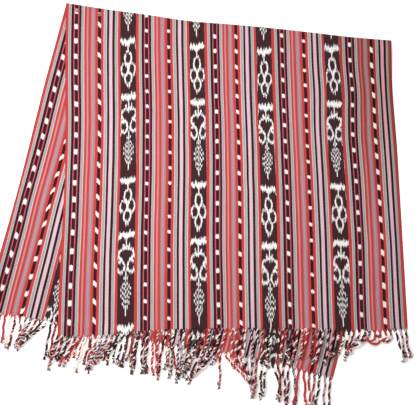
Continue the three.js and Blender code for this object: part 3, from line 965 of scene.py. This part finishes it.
class Bundle:
    """Collects tubes and lumps for one mesh, with a colour for each face."""

    def __init__(self):
        self.points = []
        self.faces = []
        self.colours = []
        self.bake = []
        self.count = 0

    def add_grid(self, rings, colours, cell, closed_ends=True):
        """rings is (rings, sides, 3); colours is (rings - 1, sides, 3); cell is the bake's box."""
        made, sides = rings.shape[:2]
        start = self.count
        self.points.append(rings.reshape(-1, 3))
        self.count += made * sides
        left, right, low, high = cell
        for ring in range(made - 1):
            v0, v1 = (mix(low, high, (ring + k) / (made - 1)) for k in (0, 1))
            for side in range(sides):
                after = (side + 1) % sides
                a = start + ring * sides
                self.faces.append((a + side, a + after, a + sides + after, a + sides + side))
                u0, u1 = (mix(left, right, (side + k) / sides) for k in (0, 1))
                self.bake.extend(((u0, v0), (u1, v0), (u1, v1), (u0, v1)))
                self.colours.extend([colours[ring, side]] * 4)
        if closed_ends:
            self.add_cap(range(start + sides - 1, start - 1, -1), colours[0, 0], (left, right, low))
            last = start + (made - 1) * sides
            self.add_cap(range(last, last + sides), colours[-1, 0], (left, right, high))

    def add_cap(self, corners, colour, place):
        left, right, level = place
        corners = list(corners)
        self.faces.append(corners)
        turn = np.arange(len(corners)) * 2 * np.pi / len(corners)
        half = (right - left) / 2
        self.bake.extend(np.column_stack([left + half + half * np.cos(turn), level + 0.001 * np.sin(turn)]))
        self.colours.extend([colour] * len(corners))

    def piece(self, name):
        made = new_piece(name, np.concatenate(self.points), self.faces, {"OFBake": self.bake})
        colours = made.data.color_attributes.new("yarn", "FLOAT_COLOR", "CORNER")
        rgba = np.column_stack([np.array(self.colours), np.ones(len(self.colours))])
        colours.data.foreach_set("color", rgba.astype(np.float32).ravel())
        return made


def part_of(cell, start, end):
    """The strip of a bake's box between two shares of its width."""
    left, right, low, high = cell
    return mix(left, right, start), mix(left, right, end), low, high


def knot_place(where):
    return np.argmin(np.abs(where - (where[-1] - KNOT_BEFORE_END)))


def tube(route, radius, sides, twist=0.0):
    """Rings round a route. radius may differ at each point, and twist turns the rings along it."""
    on, side, up = frames_along(route)
    turn = np.linspace(0, 2 * np.pi, sides, endpoint=False)[None, :, None]
    turn = turn + np.reshape(twist, (-1, 1, 1))
    radius = np.reshape(radius, (-1, 1, 1))
    return route[:, None] + radius * (np.cos(turn) * side[:, None] + np.sin(turn) * up[:, None])


def add_plies(bundle, number, layer, route, where, cell):
    """The cord's two plies, from its root to just inside its knot."""
    u_middle = (number + 0.5) / CORDS * CLOTH_WIDE
    half = CLOTH_WIDE / CORDS / 2
    end = where[-1] - KNOT_BEFORE_END
    kept = where <= end
    route, where = route[kept], where[kept]
    on, side, up = frames_along(route)
    phase = 2 * np.pi * (where / TWIST_PITCH + scatter(number + 31 * (layer == "lower")))
    swell = 1 + PLY_SWELL * np.sin(where * 0.9 + 7 * scatter(number + 3))
    taper = mix(PLY_CLOSE, 1, ease(where / FAN_LONG))
    for ply in (0, 1):
        angle = phase + np.pi * ply
        out = np.cos(angle)[:, None] * side + np.sin(angle)[:, None] * up
        line = route + out * (TWIST_RADIUS * taper)[:, None]
        sides = np.arange(PLY_SIDES)
        turn = -2 * np.pi * where / PLY_TURN
        rings = tube(line, PLY_RADIUS * swell, PLY_SIDES, turn + angle)
        u = u_middle + half * (ply - 1) + half * (sides // STRAND_SIDES * STRAND_SIDES + 1) / PLY_SIDES
        colours = yarn_colour(u[None, :], -TAKE_UP * where[:-1, None])
        bundle.add_grid(rings, colours, part_of(cell, 0.34 * ply, 0.34 * ply + 0.32))


def add_fan(bundle, number, layer, route, where, root_height, cell):
    """The gathered warp between the hem and the cord."""
    joins = np.argmin(np.abs(where - FAN_LONG))
    on, side, _ = frames_along(route)
    for j in range(FAN_BUNDLES):
        across = (number + (j + 0.5) / FAN_BUNDLES) / CORDS
        start = plan_point(layer, across, 1) - outward(layer, across) * FAN_INSIDE
        lateral = (j + 0.5) / FAN_BUNDLES - 0.5
        begin = np.array([*start, root_height + FAN_RISE])
        way_out = np.array([*outward(layer, across), 0])
        arch = [0, 0, 0.5 * math.cos(3 * lateral)]
        finish = route[joins] - side[joins] * lateral * FAN_END_WIDE + arch
        leaving = on[joins]
        t = np.linspace(0, 1, 6)[:, None]
        reach = FAN_LONG * FAN_BEND
        line = (
            begin * (1 - t) ** 3
            + 3 * (begin + way_out * reach) * t * (1 - t) ** 2
            + 3 * (finish - leaving * reach) * t**2 * (1 - t)
            + finish * t**3
        )
        rings = tube(line, FAN_RADIUS * mix(1, 0.8, t[:, 0]), 4)
        colours = yarn_colour(across * CLOTH_WIDE, np.zeros((5, 4)))
        box = part_of(cell, j / FAN_BUNDLES, (j + 0.8) / FAN_BUNDLES)
        bundle.add_grid(rings, colours, box, closed_ends=False)


def cord_yarns(number, count, v):
    """Colours of yarns taken across a cord's share of the warp."""
    u = (number + (np.arange(count) + 0.5) / count) / CORDS * CLOTH_WIDE
    return yarn_colour(u, v)


def add_knot(bundle, number, route, where, cell):
    at = knot_place(where)
    on, side, up = (way[at] for way in frames_along(route))
    polar = np.linspace(0.12, np.pi - 0.12, KNOT_RINGS)[:, None]
    round_it = np.linspace(0, 2 * np.pi, KNOT_SIDES, endpoint=False)[None, :]
    wrap = 1 + KNOT_WRAP * np.cos(2 * round_it + 5 * np.cos(polar) + number)
    long, wide, high = (size * mix(0.9, 1.12, scatter(number + 9)) for size in KNOT_HALF)
    along = (long * np.cos(polar) * wrap)[..., None] * -on
    across = (wide * np.sin(polar) * np.cos(round_it) * wrap)[..., None] * side
    rise = (high * np.sin(polar) * np.sin(round_it) * wrap)[..., None] * up
    lift = np.array([0, 0, max(0.0, high - PLY_RADIUS - TWIST_RADIUS)])
    yarns = cord_yarns(number, KNOT_SIDES, KNOT_WARP)
    band = (np.arange(KNOT_SIDES)[None, :] + 2 * np.arange(KNOT_RINGS - 1)[:, None]) % KNOT_SIDES
    bundle.add_grid(route[at] + lift + along + across + rise, yarns[band], cell)


def add_tuft(bundle, number, layer, route, where, cell):
    """Loose yarn ends that fan out beyond the knot."""
    at = knot_place(where)
    on = frames_along(route)[0]
    heading = unit(route[-1, :2] - route[at, :2])
    yarns = cord_yarns(number, TUFT_YARNS, TUFT_WARP)
    for k in range(TUFT_YARNS):
        seed = number * 37 + k * 5 + (17 if layer == "lower" else 0)
        spread = math.radians(TUFT_SPREAD) * (2 * scatter(seed) - 1)
        curl = math.radians(TUFT_CURL) * (2 * scatter(seed + 0.3) - 1)
        long = mix(*TUFT_LONG, scatter(seed + 0.6))
        rise = TUFT_RISE * (2 * scatter(seed + 0.8) - 0.7)
        steps = np.linspace(0, 1, 5)
        ways = turned(heading, spread + curl * steps)
        plan = route[at, :2] + on[at, :2] * 2.5 + np.concatenate(
            [[[0, 0]], np.cumsum((ways[:-1] + ways[1:]) / 2 * long / 4, axis=0)]
        )
        z = route[at, 2] * (1 - ease(steps * 1.05)) + rise * np.sin(np.pi * steps) + 0.8
        line = np.column_stack([plan, np.maximum(z, YARN_RADIUS + 0.1)])
        rings = tube(line, YARN_RADIUS * np.array([1.3, 1.1, 1, 0.95, 0.7]), 3)
        colours = np.broadcast_to(yarns[(k * 7) % TUFT_YARNS], (4, 3, 3))
        box = part_of(cell, k / TUFT_YARNS, (k + 0.8) / TUFT_YARNS)
        bundle.add_grid(rings, colours, box, closed_ends=False)


def build_fringe(layer, table, root_height, laid):
    bundle = Bundle()
    for first in (0, 1):
        for number in range(first, CORDS, 2):
            points = cord_plan(layer, table, number)
            height = root_height((number + 0.5) / CORDS)
            heights = lay_cord(layer, points, height, laid)
            route, where = smooth_route(points, heights, seed_of(layer, number))
            half_row, place = divmod(number, CORDS // 2)
            left, right = (mix(0.01, 0.99, (place + k) / (CORDS // 2)) for k in (0.04, 0.96))
            base = 0.01 + 0.495 * half_row
            add_plies(bundle, number, layer, route, where, (left, mix(left, right, 0.6), base, base + 0.48))
            right_part = mix(left, right, 0.64)
            add_fan(bundle, number, layer, route, where, height, (right_part, right, base, base + 0.1))
            add_knot(bundle, number, route, where, (right_part, right, base + 0.12, base + 0.22))
            add_tuft(bundle, number, layer, route, where, (right_part, right, base + 0.24, base + 0.46))
    return bundle.piece(f"{layer}_twisted_fringe")


# ---- Materials ----
YARN = 0.5  # mm from yarn to yarn
FIBRES_LONG = 60.0  # how far along the warp a yarn keeps its shift
WANDER = 1.6  # how far the stripes' edges wander
WEFT_STEP = 0.8
RIB_STEP = 1.0
CLOTH_SHADE = 0.92
YARN_TONE = 0.16  # how far single yarns differ in brightness
WORN_TONE = 0.3  # and long streaks, short ones and the weft
GRAIN_TONE = 0.5
WEFT_TONE = 0.03
PICK_HEIGHT = 0.12  # of the weave's picks, beside the slubs
CLOTH_FINISH = {
    "Roughness": 0.86, "Specular IOR Level": 0.15, "Sheen Weight": 0.05, "Sheen Roughness": 0.5
}
YARN_FINISH = {"Roughness": 0.9, "Specular IOR Level": 0.2, "Sheen Weight": 0.15}


class Number:
    """A node's number. Plain arithmetic on it adds maths nodes."""

    def __init__(self, graph, socket):
        self.graph = graph
        self.socket = socket

    def __add__(self, other):
        return self.graph.math("ADD", self, other)

    def __sub__(self, other):
        return self.graph.math("SUBTRACT", self, other)

    def __mul__(self, other):
        return self.graph.math("MULTIPLY", self, other)

    def __truediv__(self, other):
        return self.graph.math("DIVIDE", self, other)

    def __floordiv__(self, other):
        return self.graph.math("FLOOR", self / other)

    def __mod__(self, other):
        return self.graph.math("MODULO", self, other)

    def __lt__(self, other):
        return self.graph.math("LESS_THAN", self, other)

    def __gt__(self, other):
        return self.graph.math("GREATER_THAN", self, other)

    def __abs__(self):
        return self.graph.math("ABSOLUTE", self)


class Graph:
    """Adds nodes to a material. A call returns a Number, or the socket of a colour or a place."""

    def __init__(self, name):
        self.material = bpy.data.materials.new(name)
        self.material.use_nodes = True
        self.tree = self.material.node_tree
        self.shader = self.tree.nodes["Principled BSDF"]

    def put(self, value, socket):
        if isinstance(value, Number):
            value = value.socket
        if isinstance(value, bpy.types.NodeSocket):
            self.tree.links.new(value, socket)
        else:
            socket.default_value = value

    def node(self, kind, *values, **settings):
        """A node with its settings, and with values put into its first sockets."""
        made = self.tree.nodes.new(kind)
        for name, value in settings.items():
            setattr(made, name, value)
        for value, socket in zip(values, made.inputs):
            self.put(value, socket)
        return made

    def fill(self, made, **values):
        """Put values into a node's sockets by name, and return what comes out of it."""
        for name, value in values.items():
            self.put(value, made.inputs[name])
        return made.outputs[0]

    def math(self, operation, *values):
        return Number(self, self.node("ShaderNodeMath", *values, operation=operation).outputs[0])

    def steps(self, share, stops):
        """A ramp of constant colours from (place, colour) stops."""
        made = self.node("ShaderNodeValToRGB", share)
        ramp = made.color_ramp
        ramp.interpolation = "CONSTANT"
        ramp.elements.remove(ramp.elements[1])
        ramp.elements[0].position = 0.0
        ramp.elements[0].color = (*stops[0][1], 1)
        for place, colour in stops[1:]:
            ramp.elements.new(place).color = (*colour, 1)
        return made.outputs[0]

    def smooth(self, value, start, end):
        """0 at the start and 1 at the end, and smooth between them."""
        made = self.node("ShaderNodeMapRange", value, start, end, interpolation_type="SMOOTHSTEP")
        return Number(self, made.outputs[0])

    def parts(self, colour):
        return [Number(self, part) for part in self.node("ShaderNodeSeparateColor", colour).outputs]

    def vector(self, x, y, z=0.0):
        return self.node("ShaderNodeCombineXYZ", x, y, z).outputs[0]

    def uv(self, layer):
        """Across and along, from a UV map."""
        place = self.node("ShaderNodeUVMap", uv_map=layer).outputs[0]
        return [Number(self, part) for part in self.node("ShaderNodeSeparateXYZ", place).outputs[:2]]

    def noise(self, place, scale, detail=2.0):
        made = self.node("ShaderNodeTexNoise")
        return Number(self, self.fill(made, Vector=place, Scale=scale, Detail=detail))

    def streaks(self, u, v, across, along, detail=2.0):
        """Noise that is drawn out along the warp."""
        return self.noise(self.vector(u * across, v * along), 1.0, detail)

    def speckle(self, x, y):
        """A repeatable number from -0.5 to 0.5 for each pair of whole numbers."""
        made = self.node("ShaderNodeTexWhiteNoise", noise_dimensions="2D")
        return Number(self, self.fill(made, Vector=self.vector(x, y))) - 0.5

    def mixed(self, share, a, b, blend="MIX"):
        made = self.node("ShaderNodeMix", data_type="RGBA", blend_type=blend)
        for value, index in ((share, 0), (a, 6), (b, 7)):
            if isinstance(value, np.ndarray):
                value = (*value, 1)
            self.put(value, made.inputs[index])
        return made.outputs[2]

    def shaded(self, colour, shade):
        return self.mixed(1.0, colour, self.vector(shade, shade, shade), "MULTIPLY")

    def bump(self, height, distance, strength):
        made = self.node("ShaderNodeBump")
        normal = self.fill(made, Distance=distance, Strength=strength, Height=height)
        self.put(normal, self.shader.inputs["Normal"])

    def finish(self, colour, settings):
        """Put the colour and the settings on the shader, and return the material."""
        for name, value in {"Base Color": colour, **settings}.items():
            self.put(value, self.shader.inputs[name])
        return self.material


def stripe_stops(value):
    """Ramp stops over one repeat, from a function of a stripe's colour and kind."""
    starts = np.concatenate([[0], STRIPE_ENDS[:-1]]) / REPEAT
    stops = []
    for start, (colour, _, kind) in zip(starts, STRIPES):
        now = tuple(value(colour, kind))
        if not stops or stops[-1][1] != now:
            stops.append((float(start), now))
    return stops


def kind_mask(_, kind):
    return (float(kind == "pins"), float(kind == "figure"), 0.0)


def dot_stops():
    """Stops across the whole cloth: each dot band's length, width and slant, as shares."""
    stops = []
    for band, (*_, long, wide, slant) in enumerate(DOT_BANDS):
        start = band // 2 * REPEAT + band % 2 * DOT_SPLIT
        stops.append((start / CLOTH_WIDE, (long / DOT_LONGEST, wide / DOT_LONGEST, 0.5 + slant / 4)))
    return stops


def bundle_stops(marks):
    """Black and white stops from one bundle's row of the chart, as many as a ramp holds."""
    changes = [0, *(np.flatnonzero(np.diff(marks.astype(int))) + 1)]
    return [(int(i) / len(marks), (float(marks[i]),) * 3) for i in changes][:32]


def white_figure(graph, u, place, tie, jitter):
    """1 where the band's warp stayed white."""
    from_middle = place - FIGURE_MIDDLE
    bundle = abs(from_middle) // BUNDLE
    pair = u // REPEAT * 40.0 + from_middle // (2 * BUNDLE)
    uneven = graph.speckle(pair, graph.math("FLOOR", tie * FIGURE_BOUND))
    shifted = tie + uneven * (FIGURE_UNEVEN / FIGURE_LONG) + jitter * (FIGURE_FEATHER / FIGURE_LONG)
    down = graph.math("FRACT", graph.math("SUBTRACT", 8.0, shifted))
    total = 0.0
    for k in range(BUNDLES):
        mark = graph.parts(graph.steps(down, bundle_stops(FIGURE[k])))[0]
        here = graph.math("COMPARE", bundle, float(k), 0.1)
        total = graph.math("MULTIPLY_ADD", mark, here, total)
    return total


def white_dots(graph, u, place, tie, jitter):
    """1 where a dot's warp stayed white."""
    long, wide, slant = graph.parts(graph.steps(u / CLOTH_WIDE, dot_stops()))
    second = place > DOT_SPLIT
    local = place - (second * (DOT_CENTRES[1] - DOT_CENTRES[0]) + DOT_CENTRES[0])
    uneven = graph.speckle(u // REPEAT * 2.0 + second, graph.math("ROUND", tie))
    off = (slant - 0.5) * 4.0 * local + uneven * DOT_UNEVEN + jitter * DOT_FEATHER
    near = graph.math("FRACT", off * (1 / DOT_STEP) + (tie + 8.5))
    away = abs(near - 0.5) * (2 * DOT_STEP) + local * local * DOT_ROUNDING
    return (away < long * DOT_LONGEST) * (abs(local) * (2 / DOT_LONGEST) < wide)


def dyed_colour_with_painted_shade(graph, u, v, yarn):
    """The stripes, the marks tied into them and the red stripe at the right selvedge, darkened with painted
    shade towards the fold's right end.
    """
    place = u % REPEAT
    share = place / REPEAT
    # painted shade: how far the colours darken towards the fold's right end
    painted_shade = graph.smooth(u, *PAINTED_SHADE_ACROSS) * graph.smooth(v, *PAINTED_SHADE_UP) * graph.smooth(v, *PAINTED_SHADE_BACK)
    base = graph.mixed(
        painted_shade,
        graph.steps(share, stripe_stops(lambda colour, _: linear(colour))),
        graph.steps(share, stripe_stops(lambda colour, _: linear(PAINTED_SHADE_COLOURS[colour]))),
    )
    pins, figure, _ = graph.parts(graph.steps(share, stripe_stops(kind_mask)))
    pin = graph.math("FRACT", u / PIN_STEP) < PIN_SHARE
    colour = graph.mixed(pins * pin, base, linear(PIN_DARK))
    mottle = graph.streaks(u, v, 0.5, 0.06, 3.0)
    colour = graph.mixed(figure, colour, graph.mixed(mottle, linear(IKAT_DARK), linear(IKAT_PALE)))
    tie = graph.uv("ties")[1]
    jitter = graph.speckle(yarn, v // FIBRES_LONG)
    dots = white_dots(graph, u, place, tie, jitter)
    marks = graph.math("MAXIMUM", dots, figure * white_figure(graph, u, place, tie, jitter))
    colour = graph.mixed(marks, colour, linear(WHITE))
    # the red selvedge stripe darkens with the same painted shade
    red = graph.mixed(painted_shade, linear(RED), linear(PAINTED_SHADE_COLOURS[RED]))
    return graph.mixed(u > EDGE_RED_FROM, colour, red)


def cloth_material():
    """Warp-faced striped cotton with tied bands."""
    graph = Graph("striped_ikat_cotton")
    straight_u, v = (part * (1 / MM) for part in graph.uv("cloth"))
    u = (graph.streaks(straight_u, v, 0.05, 0.012) - 0.5) * WANDER + straight_u
    yarn = u // YARN
    # the dyed colour, with painted shade towards the fold's right end
    colour = dyed_colour_with_painted_shade(graph, u, v, yarn)
    tone = graph.streaks(u, v, 0.3, 0.02) - 0.5
    grain = graph.streaks(u, v, 0.5, 0.35) - 0.5
    weft = graph.math("SINE", v * (2 * math.pi / WEFT_STEP))
    shade = graph.speckle(yarn, 1.0) * YARN_TONE + CLOTH_SHADE
    shade = shade + tone * WORN_TONE + grain * GRAIN_TONE + weft * WEFT_TONE
    ribs = graph.math("SINE", u * (2 * math.pi / RIB_STEP))
    slub = graph.streaks(u, v, 0.35, 0.08, 3.0)
    graph.bump(ribs * weft * PICK_HEIGHT + slub, 0.0009, 0.7)
    return graph.finish(graph.shaded(colour, shade), CLOTH_FINISH)


def fringe_material():
    """Twisted cotton yarn that keeps the warp's colours."""
    graph = Graph("twisted_cotton_yarn")
    colour = graph.node("ShaderNodeVertexColor", layer_name="yarn").outputs[0]
    place = graph.node("ShaderNodeTexCoord").outputs["Object"]
    graph.bump(graph.noise(place, 1400.0), 0.0006, 0.6)
    return graph.finish(graph.shaded(colour, graph.noise(place, 900.0) * 0.4 + 0.86), YARN_FINISH)


# ---- The studio ----
VIEW_ELEVATION = math.radians(78)
VIEW_DISTANCE = 2.4
FOCAL_SHARE = 902 / 416  # focal length over the picture's width
SENSOR = 36.0
SKY_LIGHT = 0.31
FLOOR_HALF = 6.0
FLOOR_WHITES = ((250, 249, 247), (246, 245, 243))
# The floor glows a little, like a lit table, so that shadows on it stay pale
FLOOR_FINISH = {
    "Roughness": 0.95, "Specular IOR Level": 0.1, "Emission Color": (1, 1, 1, 1), "Emission Strength": 0.3
}


def add_camera():
    data = bpy.data.cameras.new("view")
    data.sensor_width = SENSOR
    data.lens = FOCAL_SHARE * SENSOR
    camera = bpy.data.objects.new("view", data)
    target = (-BOX_CENTRE[0] * MM, -BOX_CENTRE[1] * MM, 0.0)
    back = VIEW_DISTANCE * math.cos(VIEW_ELEVATION)
    camera.location = (target[0], target[1] - back, VIEW_DISTANCE * math.sin(VIEW_ELEVATION))
    camera.rotation_euler = (math.pi / 2 - VIEW_ELEVATION, 0, 0)
    bpy.context.scene.collection.objects.link(camera)
    bpy.context.scene.camera = camera


def add_floor():
    corners = [(x * FLOOR_HALF, y * FLOOR_HALF, 0) for x, y in ((-1, -1), (1, -1), (1, 1), (-1, 1))]
    mesh = bpy.data.meshes.new("floor")
    mesh.from_pydata(corners, [], [(0, 1, 2, 3)])
    floor = bpy.data.objects.new("floor", mesh)
    bpy.context.scene.collection.objects.link(floor)
    graph = Graph("pale_floor")
    place = graph.node("ShaderNodeTexCoord").outputs["Object"]
    tone = graph.mixed(graph.noise(place, 3.0), *(linear(white) for white in FLOOR_WHITES))
    mesh.materials.append(graph.finish(tone, FLOOR_FINISH))


def add_light(name, kind, place, aim, power, **settings):
    data = bpy.data.lights.new(name, kind)
    data.energy = power
    for setting, value in settings.items():
        setattr(data, setting, value)
    light = bpy.data.objects.new(name, data)
    light.location = place
    way = np.array(aim, float) - np.array(place, float)
    flat = math.hypot(way[0], way[1])
    light.rotation_euler = (math.atan2(flat, -way[2]), 0, math.atan2(-way[0], way[1]))
    light.visible_camera = False
    bpy.context.scene.collection.objects.link(light)


def add_studio():
    world = bpy.data.worlds.new("studio")
    world.use_nodes = True
    sky = world.node_tree.nodes["Background"]
    sky.inputs[0].default_value = (1.0, 1.0, 1.0, 1)
    sky.inputs[1].default_value = SKY_LIGHT
    bpy.context.scene.world = world
    bpy.context.scene.view_settings.view_transform = "Standard"
    add_light("key", "AREA", (-1.1, 0.6, 2.2), (-0.1, 0.1, 0), 23, shape="DISK", size=1.2)
    add_light("overhead", "POINT", (-0.17, 0.13, 1.05), (0, 0, 0), 37, shadow_soft_size=0.35)
    add_floor()
    add_camera()


# ---- The whole scene ----


def lower_root(across):
    """How high the cords of the lower hem begin."""
    return CORD_CLEAR


def upper_root(across):
    """How high the cords of the upper hem begin."""
    return float(max(CORD_CLEAR, upper_underside(np.array(across), np.array(1.0))))


def main():
    add_studio()
    cloth = build_cloth()
    laid = []
    lower = build_fringe("lower", LOWER_CORDS, lower_root, laid)
    upper = build_fringe("upper", UPPER_CORDS, upper_root, laid)
    cloth.data.materials.append(cloth_material())
    yarn = fringe_material()
    for fringe in (lower, upper):
        fringe.data.materials.append(yarn)
    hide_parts("lower_layer", "fold", "upper_layer")
    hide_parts("lower_fringe")
    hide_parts("upper_fringe")
    for piece, slot in ((cloth, "cloth"), (lower, "fringe"), (upper, "fringe")):
        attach(piece, "root")


main()
